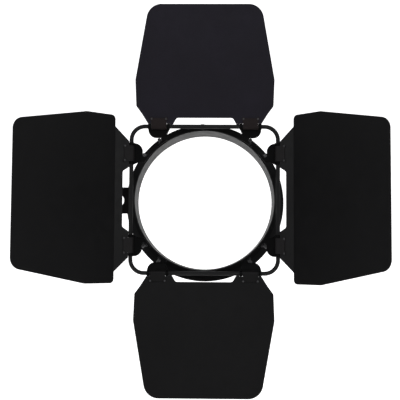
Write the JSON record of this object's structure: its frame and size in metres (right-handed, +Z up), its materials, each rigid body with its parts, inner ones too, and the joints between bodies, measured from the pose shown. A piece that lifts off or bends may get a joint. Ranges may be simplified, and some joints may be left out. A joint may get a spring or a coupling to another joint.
{
  "type": "barn door set",
  "caption": "Square-rod barn door set on a round flanged collar, with flat small leaves and bent side leaves that each turn on the rod.",
  "frame": {"origin": "centre of the rear flange's back face, on the light's axis", "axes": "+Y along the light's axis towards the light, -Y towards the subject, +Z up through the top leaf, +X to the right as seen from the subject's side"},
  "size_m": [0.45, 0.1916, 0.5178],
  "materials": {
    "leaf_paint": "fine-texture matt black powder coat",
    "rod_paint": "satin black paint",
    "collar_paint": "satin black paint",
    "bracket_paint": "matt black paint",
    "clip_paint": "satin black paint",
    "rivet_metal": "darkened steel",
    "screw_metal": "darkened steel"
  },
  "bodies": {
    "frame": {"flange_ring": "collar_paint", "collar": "collar_paint", "safety_tab": "bracket_paint", "rod_frame": "rod_paint", "rod_weld": "rod_paint", "bracket_top_a": "bracket_paint", "bracket_top_b": "bracket_paint", "bracket_right_a": "bracket_paint", "bracket_right_b": "bracket_paint", "bracket_bottom_a": "bracket_paint", "bracket_bottom_b": "bracket_paint", "bracket_left_a": "bracket_paint", "bracket_left_b": "bracket_paint", "bracket_studs": "screw_metal", "bracket_nuts": "screw_metal"},
    "top_leaf": {"leaf_top": "leaf_paint", "clip_top_a": "clip_paint", "clip_top_b": "clip_paint", "leaf_rivets_top": "rivet_metal"},
    "bottom_leaf": {"leaf_bottom": "leaf_paint", "clip_bottom_a": "clip_paint", "clip_bottom_b": "clip_paint", "leaf_rivets_bottom": "rivet_metal"},
    "left_leaf": {"leaf_left": "leaf_paint", "clip_left_a": "clip_paint", "clip_left_b": "clip_paint", "leaf_rivets_left": "rivet_metal"},
    "right_leaf": {"leaf_right": "leaf_paint", "clip_right_a": "clip_paint", "clip_right_b": "clip_paint", "leaf_rivets_right": "rivet_metal"}
  },
  "joints": [
    {"name": "top_leaf_hinge", "type": "hinge", "parent": "frame", "child": "top_leaf", "pos_m": [0, -0.066, 0.098], "axis": [1, 0, 0], "range_deg": [-52.5, 172.5]},
    {"name": "bottom_leaf_hinge", "type": "hinge", "parent": "frame", "child": "bottom_leaf", "pos_m": [0, -0.066, -0.098], "axis": [-1, 0, 0], "range_deg": [-49.5, 172.5]},
    {"name": "left_leaf_hinge", "type": "hinge", "parent": "frame", "child": "left_leaf", "pos_m": [-0.098, -0.066, 0], "axis": [0, 0, 1], "range_deg": [-88.4, 81.6]},
    {"name": "right_leaf_hinge", "type": "hinge", "parent": "frame", "child": "right_leaf", "pos_m": [0.098, -0.066, 0], "axis": [0, 0, -1], "range_deg": [-92.4, 77.6]}
  ]
}
